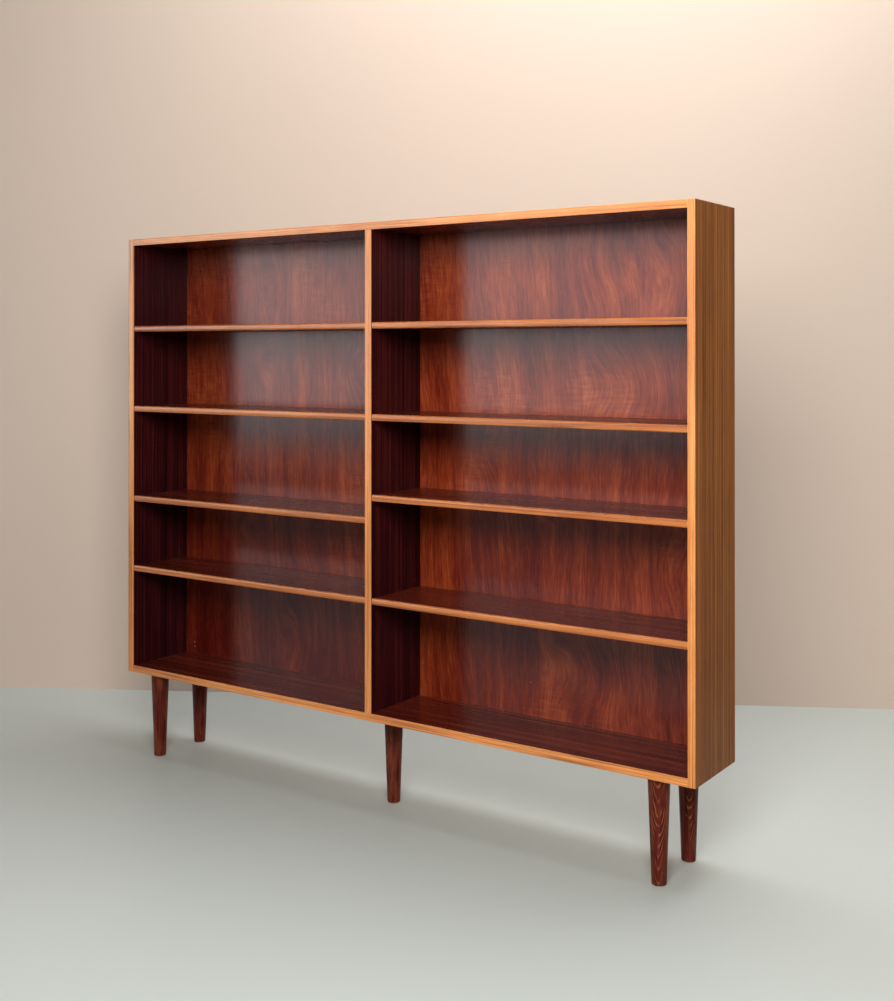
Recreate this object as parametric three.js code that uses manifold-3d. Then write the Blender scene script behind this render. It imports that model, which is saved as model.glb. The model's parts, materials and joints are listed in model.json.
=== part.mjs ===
// A wide, shallow bookcase on turned legs: a veneered case with a centre divider, two bays of loose
// shelves on hidden wire supports, two let-in back panels and five screwed-in legs.
// Millimetres, +Z up. The origin is on the floor under the middle of the case, the front faces -Y.
import * as THREE from 'three';
import { mergeVertices } from 'three/addons/utils/BufferGeometryUtils.js';
import Module from 'manifold-3d';

const wasm = await Module();
wasm.setup();

// Case
const caseWidth = 1830;
const caseHeight = 1300;
const caseDepth = 228;
const boardThickness = 19; // sides, top, bottom and divider
const lippingThickness = 4; // solid strip on the front edge of each case board
const glueGap = 0.3; // between two pieces that are glued or screwed face to face

// Back panels, let into a rebate in the four outer boards
const backThickness = 4;
const backRecess = 1.5; // from the case's rear edge in to the panels' rear face
const rebateWidth = 9; // how far a panel reaches over a board's thickness

// Loose tongues that hold the board joints
const tongueThickness = 6;
const tongueReach = 5; // into each of the two boards
const tongueSetback = 14; // from the lipping and from the rebate to a tongue's ends

// Rows of holes for the shelf supports
const holePitch = 30;
const frontHoleInset = 20; // from the case's front edge
const rearHoleInset = 34; // from the back panel
const holeRowMargin = 140; // least height between a row's ends and the bottom or top board
const holeDepth = 10; // in the sides; the divider is drilled right through
const holeSides = 6;

// Wire supports: a straight run beside the board, with both ends bent into the board
const wireDiameter = 3;
const wireClearance = 0.4; // round the wire, in its holes and in the shelf's groove
const wireStandOff = 3.4; // from the board's face to the middle of the run
const wireBendRadius = 2.2;
const wireBendSteps = 3;
const wireInsertion = 8; // how far a wire's ends enter the board
const wireSides = 8;

// Shelves
const shelfThickness = 17;
const shelfSetback = 3; // from the case's front edge to the shelf's front
const shelfEndGap = 1; // at each end
const shelfBackGap = 2; // to the back panel
const noseDepth = 9; // front to back size of the shelf's rounded lipping
const noseRounding = 5; // how much of that depth its arc takes
const noseArcSteps = 12;
const grooveStop = 1.5; // from the wire to the closed front end of the groove
const shelvesPerBay = 4;
// Where the shelves stand, from the top down, as shares of the row of holes; the nearest hole is used.
const shelfPlaces = {
  left: [0.906, 0.656, 0.375, 0.156],
  right: [0.906, 0.656, 0.4375, 0.156],
};

// Legs and the bolts that hold them
const legHeight = 243;
const legTopDiameter = 52;
const legFootDiameter = 34;
const legFootRounding = 2;
const legFootSteps = 3;
const legSideInset = 103; // from the case's side to a corner leg's axis
const legEdgeInset = 32.5; // from the case's front or back to a corner leg's axis
const legSegments = 24;
const boltDiameter = 8;
const boltClearance = 0.3;
const boltDepthInLeg = 30;
const boltWeb = 2; // wood left between the centre bolt and the divider's tongue above it
const boltSides = 12;

const cutOvershoot = 1; // how far a cut runs past the face that it opens

// Worked out from the sizes above
const outerX = caseWidth / 2;
const innerX = outerX - boardThickness;
const dividerX = boardThickness / 2;
const caseBottomZ = legHeight;
const caseTopZ = legHeight + caseHeight;
const floorZ = caseBottomZ + boardThickness; // upper face of the bottom board
const ceilingZ = caseTopZ - boardThickness; // lower face of the top board
const boardFrontY = lippingThickness + glueGap;
const backPanelY = caseDepth - backRecess - backThickness; // front face of the back panels
const rebateY = backPanelY - glueGap;
const frontHoleY = frontHoleInset;
const rearHoleY = backPanelY - rearHoleInset;
const wireRadius = wireDiameter / 2;
const bays = {
  left: { from: -innerX, to: -dividerX },
  right: { from: dividerX, to: innerX },
};

const finishes = {
  sideVeneer: { color: 0x6e4527, roughness: 0.5, metalness: 0 },
  innerVeneer: { color: 0x33110f, roughness: 0.42, metalness: 0 },
  backVeneer: { color: 0x6a2a1e, roughness: 0.4, metalness: 0 },
  lipping: { color: 0xc47a44, roughness: 0.45, metalness: 0 },
  legWood: { color: 0x4a2018, roughness: 0.38, metalness: 0 },
  tongueWood: { color: 0xc9a26d, roughness: 0.8, metalness: 0 },
  steel: { color: 0xa8a8a4, roughness: 0.35, metalness: 1 },
};

const bookcase = new THREE.Group();
bookcase.position.y = -caseDepth / 2;

function addPiece(name, geometry, finish) {
  const mesh = new THREE.Mesh(geometry, new THREE.MeshStandardMaterial(finish));
  mesh.name = name;
  bookcase.add(mesh);
}

// A rectangular block between two opposite corners.
function block([x0, y0, z0], [x1, y1, z1]) {
  const geometry = new THREE.BoxGeometry(x1 - x0, y1 - y0, z1 - z0);
  geometry.translate((x0 + x1) / 2, (y0 + y1) / 2, (z0 + z1) / 2);
  return geometry;
}

function toSolid(geometry) {
  const bare = geometry.clone();
  bare.deleteAttribute('normal');
  bare.deleteAttribute('uv');
  const merged = mergeVertices(bare);
  return new wasm.Manifold(new wasm.Mesh({
    numProp: 3,
    vertProperties: Float32Array.from(merged.attributes.position.array),
    triVerts: Uint32Array.from(merged.index.array),
  }));
}

function cutFrom(geometry, cuts) {
  const solid = cuts.reduce((rest, cut) => rest.subtract(toSolid(cut)), toSolid(geometry));
  const mesh = solid.getMesh();
  const result = new THREE.BufferGeometry();
  result.setAttribute('position', new THREE.BufferAttribute(mesh.vertProperties, 3));
  result.setIndex(new THREE.BufferAttribute(mesh.triVerts, 1));
  result.computeVertexNormals();
  return result;
}

// --- Joints of the case -------------------------------------------------------------------

// One tongue in each corner joint, lying flat, and one upright at each end of the divider.
function caseTongues() {
  const frontY = boardFrontY + tongueSetback;
  const backY = rebateY - tongueSetback;
  const box = (x, z, halfX, halfZ) => (slack) => block(
    [x - halfX - slack, frontY - slack, z - halfZ - slack],
    [x + halfX + slack, backY + slack, z + halfZ + slack],
  );
  const half = tongueThickness / 2;
  const levels = [
    { level: 'bottom', boardZ: (caseBottomZ + floorZ) / 2, faceZ: floorZ },
    { level: 'top', boardZ: (ceilingZ + caseTopZ) / 2, faceZ: ceilingZ },
  ];
  return levels.flatMap(({ level, boardZ, faceZ }) => [
    { name: `left_${level}_tongue`, box: box(-innerX, boardZ, tongueReach, half) },
    { name: `right_${level}_tongue`, box: box(innerX, boardZ, tongueReach, half) },
    { name: `divider_${level}_tongue`, box: box(0, faceZ, half, tongueReach) },
  ]);
}

const tongues = caseTongues();
const tongueGrooves = tongues.map((tongue) => tongue.box(glueGap));
for (const tongue of tongues) {
  addPiece(tongue.name, tongue.box(0), finishes.tongueWood);
}

// The space that the back panels fill, open to the rear.
const panelEdgeX = innerX + rebateWidth;
const panelBottomZ = floorZ - rebateWidth;
const panelTopZ = ceilingZ + rebateWidth;
const rebate = block(
  [-panelEdgeX - glueGap, rebateY, panelBottomZ - glueGap],
  [panelEdgeX + glueGap, caseDepth + cutOvershoot, panelTopZ + glueGap],
);

// --- Support holes ------------------------------------------------------------------------

// A hole is level with the middle of the shelf that it carries, and a shelf's upper face stands a
// whole number of pitches above the bottom board.
const firstPitch = Math.ceil(holeRowMargin / holePitch);
const lastPitch = Math.floor((ceilingZ - floorZ - holeRowMargin) / holePitch);
const holeCount = lastPitch - firstPitch + 1;
const holeZ = (number) => floorZ + holePitch * (firstPitch + number) - shelfThickness / 2;

// The front and the rear row, drilled along X from one plane to another.
function holeRows(x0, x1) {
  const radius = (wireRadius + wireClearance) / Math.cos(Math.PI / holeSides);
  const drillings = [];
  for (const y of [frontHoleY, rearHoleY]) {
    for (let number = 0; number < holeCount; number += 1) {
      const drilling = new THREE.CylinderGeometry(radius, radius, Math.abs(x1 - x0), holeSides);
      drilling.rotateZ(Math.PI / 2);
      drilling.translate((x0 + x1) / 2, y, holeZ(number));
      drillings.push(drilling);
    }
  }
  return drillings;
}

// --- Legs and bolts -----------------------------------------------------------------------

const legX = outerX - legSideInset;
const legPlaces = {
  front_left: [-legX, legEdgeInset],
  front_right: [legX, legEdgeInset],
  back_left: [-legX, caseDepth - legEdgeInset],
  back_right: [legX, caseDepth - legEdgeInset],
  centre: [0, caseDepth / 2],
};
const legTopZ = legHeight - glueGap;
const boltReach = boardThickness - tongueReach - boltWeb;

// A round rod of the bolt's size, or of its hole when slack is given.
function boltRod([x, y], slack) {
  const radius = boltDiameter / 2 + slack;
  const lowZ = legTopZ - boltDepthInLeg - slack;
  const highZ = caseBottomZ + boltReach + slack;
  const rod = new THREE.CylinderGeometry(radius, radius, highZ - lowZ, boltSides);
  rod.rotateX(Math.PI / 2);
  rod.translate(x, y, (lowZ + highZ) / 2);
  return rod;
}

// A straight taper with an eased foot and a blind hole for the bolt in its top.
function legShape([x, y]) {
  const footRadius = legFootDiameter / 2;
  const boreRadius = boltDiameter / 2 + boltClearance;
  const boreFloorZ = legTopZ - boltDepthInLeg - boltClearance;
  const profile = [new THREE.Vector2(0, 0)];
  for (let step = 0; step <= legFootSteps; step += 1) {
    const angle = (Math.PI / 2) * (step / legFootSteps);
    profile.push(new THREE.Vector2(
      footRadius - legFootRounding * (1 - Math.sin(angle)),
      legFootRounding * (1 - Math.cos(angle)),
    ));
  }
  profile.push(new THREE.Vector2(legTopDiameter / 2, legTopZ));
  profile.push(new THREE.Vector2(boreRadius, legTopZ));
  profile.push(new THREE.Vector2(boreRadius, boreFloorZ));
  profile.push(new THREE.Vector2(0, boreFloorZ));
  const leg = new THREE.LatheGeometry(profile, legSegments);
  leg.rotateX(Math.PI / 2);
  leg.translate(x, y, 0);
  return leg;
}

for (const [name, place] of Object.entries(legPlaces)) {
  addPiece(`${name}_leg`, legShape(place), finishes.legWood);
  addPiece(`${name}_leg_bolt`, boltRod(place, 0), finishes.steel);
}
const boltHoles = Object.values(legPlaces).map((place) => boltRod(place, boltClearance));

// --- Case boards and their lippings -------------------------------------------------------

for (const [side, sign] of [['left', -1], ['right', 1]]) {
  const lowX = Math.min(sign * innerX, sign * outerX);
  const highX = lowX + boardThickness;
  const panel = block([lowX, boardFrontY, caseBottomZ], [highX, caseDepth, caseTopZ]);
  const holes = holeRows(sign * (innerX - cutOvershoot), sign * (innerX + holeDepth));
  addPiece(`${side}_side_panel`, cutFrom(panel, [rebate, ...tongueGrooves, ...holes]), finishes.sideVeneer);
  const strip = block([lowX, 0, caseBottomZ], [highX, lippingThickness, caseTopZ]);
  addPiece(`${side}_side_lipping`, strip, finishes.lipping);
}

const boardEndX = innerX - glueGap;
for (const [level, lowZ, cuts] of [['bottom', caseBottomZ, boltHoles], ['top', ceilingZ, []]]) {
  const highZ = lowZ + boardThickness;
  const board = block([-boardEndX, boardFrontY, lowZ], [boardEndX, caseDepth, highZ]);
  addPiece(`${level}_board`, cutFrom(board, [rebate, ...tongueGrooves, ...cuts]), finishes.innerVeneer);
  const strip = block([-boardEndX, 0, lowZ], [boardEndX, lippingThickness, highZ]);
  addPiece(`${level}_lipping`, strip, finishes.lipping);
}

const dividerLowZ = floorZ + glueGap;
const dividerHighZ = ceilingZ - glueGap;
const dividerBoard = block([-dividerX, boardFrontY, dividerLowZ], [dividerX, rebateY, dividerHighZ]);
const dividerHoles = holeRows(-dividerX - cutOvershoot, dividerX + cutOvershoot);
addPiece('divider', cutFrom(dividerBoard, [...tongueGrooves, ...dividerHoles]), finishes.innerVeneer);
const dividerStrip = block([-dividerX, 0, dividerLowZ], [dividerX, lippingThickness, dividerHighZ]);
addPiece('divider_lipping', dividerStrip, finishes.lipping);

// --- Back panels, which meet behind the divider -------------------------------------------

const backPanelRearY = backPanelY + backThickness;
for (const [side, x0, x1] of [['left', -panelEdgeX, -glueGap], ['right', glueGap, panelEdgeX]]) {
  const panel = block([x0, backPanelY, panelBottomZ], [x1, backPanelRearY, panelTopZ]);
  addPiece(`${side}_back_panel`, panel, finishes.backVeneer);
}

// --- Wire supports ------------------------------------------------------------------------

// A path through given points that steps from point to point, so that bends keep their own points.
class PointPath extends THREE.Curve {
  constructor(points) {
    super();
    this.points = points;
  }

  getPoint(t) {
    const last = this.points.length - 1;
    const place = Math.min(Math.max(t, 0), 1) * last;
    const index = Math.min(Math.floor(place), last - 1);
    return this.points[index].clone().lerp(this.points[index + 1], place - index);
  }

  getUtoTmapping(u) {
    return u;
  }
}

// faceX is the board's face, and away is +1 or -1, from that face towards the shelf.
function supportWire(faceX, away, z) {
  const pinX = faceX - away * wireInsertion;
  const runX = faceX + away * wireStandOff;
  const bendCentreX = runX - away * wireBendRadius;
  const bend = (holeY, inward) => Array.from({ length: wireBendSteps + 1 }, (_, step) => {
    const angle = (Math.PI / 2) * (step / wireBendSteps);
    return new THREE.Vector3(
      bendCentreX + away * wireBendRadius * Math.sin(angle),
      holeY + inward * wireBendRadius * (1 - Math.cos(angle)),
      z,
    );
  });
  const path = new PointPath([
    new THREE.Vector3(pinX, frontHoleY, z),
    ...bend(frontHoleY, 1),
    ...bend(rearHoleY, -1).reverse(),
    new THREE.Vector3(pinX, rearHoleY, z),
  ]);
  const section = new THREE.Shape();
  for (let side = 0; side < wireSides; side += 1) {
    const angle = (2 * Math.PI * (side + 0.5)) / wireSides;
    const x = wireRadius * Math.cos(angle);
    const y = wireRadius * Math.sin(angle);
    if (side === 0) {
      section.moveTo(x, y);
    } else {
      section.lineTo(x, y);
    }
  }
  section.closePath();
  return new THREE.ExtrudeGeometry(section, { steps: path.points.length - 1, extrudePath: path });
}

// --- Shelves ------------------------------------------------------------------------------

const shelfFrontY = shelfSetback;
const noseBackY = shelfFrontY + noseDepth;
const shelfBackY = backPanelY - shelfBackGap;
const grooveFrontY = frontHoleY - wireRadius - grooveStop;
const grooveDepth = wireStandOff + wireRadius + wireClearance - shelfEndGap;
const grooveHalfHeight = wireRadius + wireClearance;

// A shelf with a groove along each end, closed at the front and open at the back.
function shelfBoard(x0, x1, z) {
  const half = shelfThickness / 2;
  const board = block([x0, noseBackY + glueGap, z - half], [x1, shelfBackY, z + half]);
  const groove = (fromX, toX) => block(
    [fromX, grooveFrontY, z - grooveHalfHeight],
    [toX, shelfBackY + cutOvershoot, z + grooveHalfHeight],
  );
  return cutFrom(board, [
    groove(x0 - cutOvershoot, x0 + grooveDepth),
    groove(x1 - grooveDepth, x1 + cutOvershoot),
  ]);
}

// The shelf's solid front strip: square at the back, a half ellipse at the front.
function shelfNose(x0, x1, z) {
  const half = shelfThickness / 2;
  const outline = new THREE.Shape();
  outline.moveTo(noseBackY, -half);
  outline.lineTo(noseBackY, half);
  outline.lineTo(shelfFrontY + noseRounding, half);
  outline.absellipse(shelfFrontY + noseRounding, 0, noseRounding, half, Math.PI / 2, 1.5 * Math.PI, false, 0);
  outline.closePath();
  const strip = new THREE.ExtrudeGeometry(outline, {
    depth: x1 - x0,
    bevelEnabled: false,
    curveSegments: noseArcSteps,
  });
  const alongX = new THREE.Matrix4().makeBasis(
    new THREE.Vector3(0, 1, 0),
    new THREE.Vector3(0, 0, 1),
    new THREE.Vector3(1, 0, 0),
  );
  strip.applyMatrix4(alongX);
  strip.translate(x0, 0, z);
  return strip;
}

for (const [bay, { from, to }] of Object.entries(bays)) {
  for (let place = 0; place < shelvesPerBay; place += 1) {
    const name = `${bay}_shelf_${place + 1}`;
    const z = holeZ(Math.round(shelfPlaces[bay][place] * (holeCount - 1)));
    const x0 = from + shelfEndGap;
    const x1 = to - shelfEndGap;
    addPiece(name, shelfBoard(x0, x1, z), finishes.innerVeneer);
    addPiece(`${name}_lipping`, shelfNose(x0, x1, z), finishes.lipping);
    addPiece(`${name}_left_wire`, supportWire(from, 1, z), finishes.steel);
    addPiece(`${name}_right_wire`, supportWire(to, -1, z), finishes.steel);
  }
}

export default bookcase;
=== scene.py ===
import json

import bpy
import numpy as np
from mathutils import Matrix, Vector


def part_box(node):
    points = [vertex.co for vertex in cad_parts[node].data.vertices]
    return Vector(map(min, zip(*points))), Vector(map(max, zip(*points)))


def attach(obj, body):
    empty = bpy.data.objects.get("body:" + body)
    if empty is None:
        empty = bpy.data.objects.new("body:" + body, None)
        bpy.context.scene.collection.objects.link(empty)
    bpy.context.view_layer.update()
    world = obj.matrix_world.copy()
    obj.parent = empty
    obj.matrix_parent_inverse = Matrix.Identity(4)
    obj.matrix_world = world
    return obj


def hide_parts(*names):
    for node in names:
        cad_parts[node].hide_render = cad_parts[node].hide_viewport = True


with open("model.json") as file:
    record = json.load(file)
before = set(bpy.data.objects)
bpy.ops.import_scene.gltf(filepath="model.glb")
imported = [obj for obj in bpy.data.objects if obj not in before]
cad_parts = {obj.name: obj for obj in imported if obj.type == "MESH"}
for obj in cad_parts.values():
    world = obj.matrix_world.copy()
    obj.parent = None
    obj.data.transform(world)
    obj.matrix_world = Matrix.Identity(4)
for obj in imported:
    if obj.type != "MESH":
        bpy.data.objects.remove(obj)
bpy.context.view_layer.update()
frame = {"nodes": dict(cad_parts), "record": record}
bodyOf = {node: body for body, nodes in frame["record"]["behaviour"]["bodies"].items() for node in nodes}


# Shader nodes

def addNode(tree, kind, sockets=None, **settings):
    made = tree.nodes.new("ShaderNode" + kind)
    for name, value in settings.items():
        setattr(made, name, value)
    for name, value in (sockets or {}).items():
        if isinstance(value, bpy.types.NodeSocket):
            tree.links.new(value, made.inputs[name])
        else:
            made.inputs[name].default_value = value
    return made


def calc(tree, operation, first, second=0.0, third=0.0, clamp=False):
    made = addNode(tree, "Math", {0: first, 1: second, 2: third}, operation=operation, use_clamp=clamp)
    return made.outputs[0]


def scaled(tree, vector, factors):  # each part of a vector times its own factor
    return addNode(tree, "VectorMath", {0: vector, 1: factors}, operation="MULTIPLY").outputs[0]


def added(tree, vector, other):
    return addNode(tree, "VectorMath", {0: vector, 1: other}, operation="ADD").outputs[0]


def noise(tree, vector, scale=1.0, detail=2.0, roughness=0.5, distortion=0.0):
    sockets = {"Vector": vector, "Scale": scale, "Detail": detail, "Roughness": roughness,
               "Distortion": distortion}
    return addNode(tree, "TexNoise", sockets).outputs[0]


def spread(tree, value, fromLow, fromHigh, toLow=0.0, toHigh=1.0, shape="SMOOTHSTEP"):
    sockets = {"Value": value, "From Min": fromLow, "From Max": fromHigh, "To Min": toLow, "To Max": toHigh}
    return addNode(tree, "MapRange", sockets, interpolation_type=shape).outputs[0]


def blended(tree, factor, first, second, mode="MIX"):
    made = addNode(tree, "Mix", {0: factor, 6: first, 7: second}, data_type="RGBA", blend_type=mode)
    return made.outputs[2]


def ramp(tree, value, stops):
    made = addNode(tree, "ValToRGB", {0: value})
    while len(made.color_ramp.elements) < len(stops):
        made.color_ramp.elements.new(0.5)
    for element, (position, colour) in zip(made.color_ramp.elements, stops):
        element.position = position
        element.color = (*colour, 1.0)
    return made.outputs[0]


def newGroup(name, inputs, outputs):
    tree = bpy.data.node_groups.new(name, "ShaderNodeTree")
    for label, kind, default in inputs:
        socket = tree.interface.new_socket(name=label, in_out="INPUT", socket_type="NodeSocket" + kind)
        if default is not None:
            socket.default_value = default
    for label, kind in outputs:
        tree.interface.new_socket(name=label, in_out="OUTPUT", socket_type="NodeSocket" + kind)
    return tree, tree.nodes.new("NodeGroupInput").outputs, tree.nodes.new("NodeGroupOutput").inputs


def fillGroup(tree, group, sockets):
    return addNode(tree, "Group", sockets, node_tree=group).outputs


def opaque(colour, share=1.0):  # a colour, or a darker share of it, as a colour socket takes it
    return (*[part * share for part in colour], 1.0)


# Straight grain along Z: broad light and dark ribbons, fine fibres and short open pores.
def buildStraightGrain():
    tree, given, out = newGroup(
        "straightGrain",
        [("Vector", "Vector", None), ("Ribbon Width", "Float", 0.012), ("Wander", "Float", 0.004)],
        [("Ribbon", "Float"), ("Fibre", "Float"), ("Pores", "Float"), ("Patch", "Float")],
    )
    drift = noise(tree, scaled(tree, given["Vector"], (3.0, 3.0, 1.1)), 1.0, 1.0)
    shift = calc(tree, "MULTIPLY", calc(tree, "SUBTRACT", drift, 0.5), given["Wander"])
    sideways = addNode(tree, "CombineXYZ", {0: shift, 1: shift, 2: 0.0}).outputs[0]
    place = added(tree, given["Vector"], sideways)
    perWidth = calc(tree, "DIVIDE", 1.0, given["Ribbon Width"])
    acrossScale = addNode(tree, "CombineXYZ", {0: perWidth, 1: perWidth, 2: 0.7}).outputs[0]
    ribbonPlace = scaled(tree, place, acrossScale)
    tree.links.new(noise(tree, ribbonPlace, 1.0, 3.0, 0.62), out["Ribbon"])
    tree.links.new(noise(tree, scaled(tree, place, (700.0, 700.0, 11.0)), 1.0, 2.0, 0.6), out["Fibre"])
    dots = noise(tree, scaled(tree, place, (1150.0, 1150.0, 70.0)), 1.0, 1.0, 0.5)
    tree.links.new(spread(tree, dots, 0.66, 0.74), out["Pores"])
    tree.links.new(noise(tree, scaled(tree, place, (5.0, 5.0, 2.2)), 1.0, 2.0, 0.5), out["Patch"])
    return tree


# One knot over an upright oval. Lift: how far a grain line is pushed aside, a smooth hump. Sheen: the
# hump times the two offsets, light in two opposite quarters and dark in the other two: the wings of
# figure where the fibres rise to the face on one side of a knot and sink on the other, with the way they
# catch the light put in as painted sheen.
def buildKnot():
    tree, given, out = newGroup(
        "grainKnot",
        [("Vector", "Vector", None), ("Place", "Vector", None), ("Reach", "Vector", (10.0, 0.0, 6.0)),
         ("Height", "Float", 0.05), ("Turn", "Float", 1.0)],
        [("Lift", "Float"), ("Sheen", "Float")],
    )
    away = addNode(tree, "VectorMath", {0: given["Vector"], 1: given["Place"]},
                   operation="SUBTRACT").outputs[0]
    oval = scaled(tree, away, given["Reach"])
    distance = addNode(tree, "VectorMath", {0: oval}, operation="LENGTH").outputs["Value"]
    hump = spread(tree, distance, 1.0, 0.0)
    tree.links.new(calc(tree, "MULTIPLY", hump, given["Height"]), out["Lift"])
    offsets = addNode(tree, "SeparateXYZ", {0: oval}).outputs
    quarter = calc(tree, "MULTIPLY", calc(tree, "MULTIPLY", offsets["X"], offsets["Z"]), hump)
    tree.links.new(calc(tree, "MULTIPLY", quarter, given["Turn"]), out["Sheen"])
    return tree


# Worn arrises: the piece's own arris value, broken up by noise so that the wear comes and goes.
def buildArrisWear():
    tree, given, out = newGroup(
        "arrisWear",
        [("Vector", "Vector", None), ("Arris", "Float", 0.0), ("Amount", "Float", 0.5)],
        [("Wear", "Float")],
    )
    broken = noise(tree, given["Vector"], 34.0, 4.0, 0.65)
    level = calc(tree, "ADD", calc(tree, "MULTIPLY", given["Arris"], 0.75), broken)
    worn = spread(tree, level, 0.78, 1.15)
    tree.links.new(calc(tree, "MULTIPLY", worn, given["Amount"], clamp=True), out["Wear"])
    return tree


# Hand-rubbed lacquer: how the sheen varies, and the faint waviness of the film over the wood.
def buildLacquer():
    tree, given, out = newGroup(
        "rubbedLacquer",
        [("Vector", "Vector", None), ("Roughness", "Float", 0.35), ("Change", "Float", 0.1),
         ("Fibre", "Float", 0.5), ("Pores", "Float", 0.0)],
        [("Roughness", "Float"), ("Height", "Float")],
    )
    smears = noise(tree, given["Vector"], 7.0, 4.0, 0.6)
    change = calc(tree, "MULTIPLY", calc(tree, "SUBTRACT", smears, 0.5), given["Change"])
    base = calc(tree, "ADD", given["Roughness"], calc(tree, "MULTIPLY", change, 2.0))
    pitted = calc(tree, "MULTIPLY_ADD", given["Pores"], 0.18, base)
    tree.links.new(pitted, out["Roughness"])
    film = noise(tree, given["Vector"], 95.0, 2.0, 0.5)
    height = calc(tree, "MULTIPLY_ADD", given["Fibre"], 0.40, calc(tree, "MULTIPLY", film, 0.16))
    tree.links.new(calc(tree, "SUBTRACT", height, calc(tree, "MULTIPLY", given["Pores"], 0.6)), out["Height"])
    return tree


straightGrain = buildStraightGrain()
grainKnot = buildKnot()
arrisWear = buildArrisWear()
rubbedLacquer = buildLacquer()
print("node groups ready")


def newMaterial(name):
    material = bpy.data.materials.new(name)
    material.use_nodes = True
    material.node_tree.nodes.clear()
    return material, material.node_tree


def finishMaterial(tree, colour, roughness, height, bumpDepth, look):
    bump = addNode(tree, "Bump", {"Height": height, "Distance": bumpDepth,
                                  "Strength": look.get("bump", 0.35)})
    sockets = {"Base Color": colour, "Roughness": roughness, "Normal": bump.outputs[0]}
    sockets |= {"IOR": look.get("ior", 1.5), "Specular IOR Level": look.get("specular", 0.5)}
    sockets |= {"Coat Weight": look.get("coat", 0.0), "Coat Roughness": look.get("coatRoughness", 0.2)}
    sockets |= {"Metallic": look.get("metallic", 0.0)}
    shader = addNode(tree, "BsdfPrincipled", sockets)
    addNode(tree, "OutputMaterial", {"Surface": shader.outputs[0]})


def grainSpace(tree, along):
    # the piece's own place, turned so that the grain runs along Z
    turns = {"Z": (0.0, 0.0, 0.0), "X": (0.0, -np.pi / 2, 0.0), "Y": (np.pi / 2, 0.0, 0.0)}
    where = addNode(tree, "TexCoord").outputs["Object"]
    return addNode(tree, "Mapping", {"Vector": where, "Rotation": turns[along]}).outputs[0]


def shared(tree, first, share, second):  # a share of the first value and the rest of the second
    return calc(tree, "MULTIPLY_ADD", first, share, calc(tree, "MULTIPLY", second, 1.0 - share))


def withPores(tree, colour, pores, look):
    shade = calc(tree, "MULTIPLY", pores, look["poreShade"])
    return blended(tree, shade, colour, opaque(look["poreColour"]))


def withWear(tree, place, colour, look):
    arris = addNode(tree, "Attribute", None, attribute_name="arris").outputs["Fac"]
    wear = fillGroup(tree, arrisWear, {"Vector": place, "Arris": arris, "Amount": look["wear"]})["Wear"]
    return blended(tree, wear, colour, opaque(look["wornColour"]))


def rubbed(tree, place, fibre, pores, look):
    return fillGroup(tree, rubbedLacquer, {"Vector": place, "Roughness": look["roughness"],
                                           "Change": look["sheenChange"], "Fibre": fibre, "Pores": pores})


def veneer(name, along, look):
    material, tree = newMaterial(name)
    place = grainSpace(tree, along)
    grain = fillGroup(tree, straightGrain, {"Vector": place, "Ribbon Width": look["ribbon"],
                                            "Wander": look["wander"]})
    tone = shared(tree, grain["Patch"], look["patchShare"], grain["Ribbon"])
    tone = calc(tree, "MULTIPLY_ADD", calc(tree, "SUBTRACT", grain["Fibre"], 0.5), look["fibreShare"], tone)
    colour = ramp(tree, tone, look["tones"])
    if "streakColour" in look:  # now and then a dark grain line, in stretches of the length
        line = noise(tree, scaled(tree, place, (150.0, 150.0, 2.4)), 1.0, 2.0, 0.55, 0.35)
        stretch = noise(tree, scaled(tree, place, (9.0, 9.0, 2.1)), 1.0, 1.0)
        dark = calc(tree, "MULTIPLY", spread(tree, line, 0.52, 0.64), spread(tree, stretch, 0.40, 0.62))
        colour = blended(tree, calc(tree, "MULTIPLY", dark, 0.75), colour, opaque(look["streakColour"]))
    colour = withPores(tree, colour, grain["Pores"], look)
    colour = withWear(tree, place, colour, look)
    film = rubbed(tree, place, grain["Fibre"], grain["Pores"], look)
    finishMaterial(tree, colour, film["Roughness"], film["Height"], look["relief"], look)
    return material


outerLook = {
    "ribbon": 0.0058, "wander": 0.003, "patchShare": 0.15, "fibreShare": 0.40,
    "tones": [(0.32, (0.115, 0.030, 0.004)), (0.44, (0.205, 0.060, 0.009)),
              (0.53, (0.290, 0.094, 0.016)), (0.68, (0.400, 0.148, 0.030))],
    "poreShade": 0.5, "poreColour": (0.045, 0.012, 0.004), "wear": 0.35, "wornColour": (0.40, 0.18, 0.07),
    "roughness": 0.50, "sheenChange": 0.10, "relief": 0.0004, "specular": 0.15,
}
# Inner faces of the sides and the divider: the inner veneer with much darker tones, painted shade for faces
# that the light hardly reaches
paintedShadeLook = {
    "ribbon": 0.0055, "wander": 0.003, "patchShare": 0.22, "fibreShare": 0.35,
    "tones": [(0.32, (0.009, 0.001, 0.002)), (0.44, (0.024, 0.003, 0.005)),
              (0.55, (0.050, 0.006, 0.007)), (0.68, (0.088, 0.014, 0.012))],
    "poreShade": 0.5, "poreColour": (0.008, 0.001, 0.002), "wear": 0.25, "wornColour": (0.20, 0.06, 0.035),
    "roughness": 0.30, "sheenChange": 0.08, "relief": 0.0004, "specular": 0.18,
}
innerLook = {
    "ribbon": 0.0075, "wander": 0.003, "patchShare": 0.22, "fibreShare": 0.35,
    "tones": [(0.35, (0.026, 0.002, 0.002)), (0.45, (0.075, 0.009, 0.005)),
              (0.54, (0.140, 0.020, 0.010)), (0.65, (0.215, 0.040, 0.020))],
    "poreShade": 0.5, "poreColour": (0.014, 0.002, 0.002), "wear": 0.25, "wornColour": (0.22, 0.07, 0.04),
    "roughness": 0.27, "sheenChange": 0.07, "relief": 0.0001, "specular": 0.20, "bump": 0.08,
}
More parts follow.
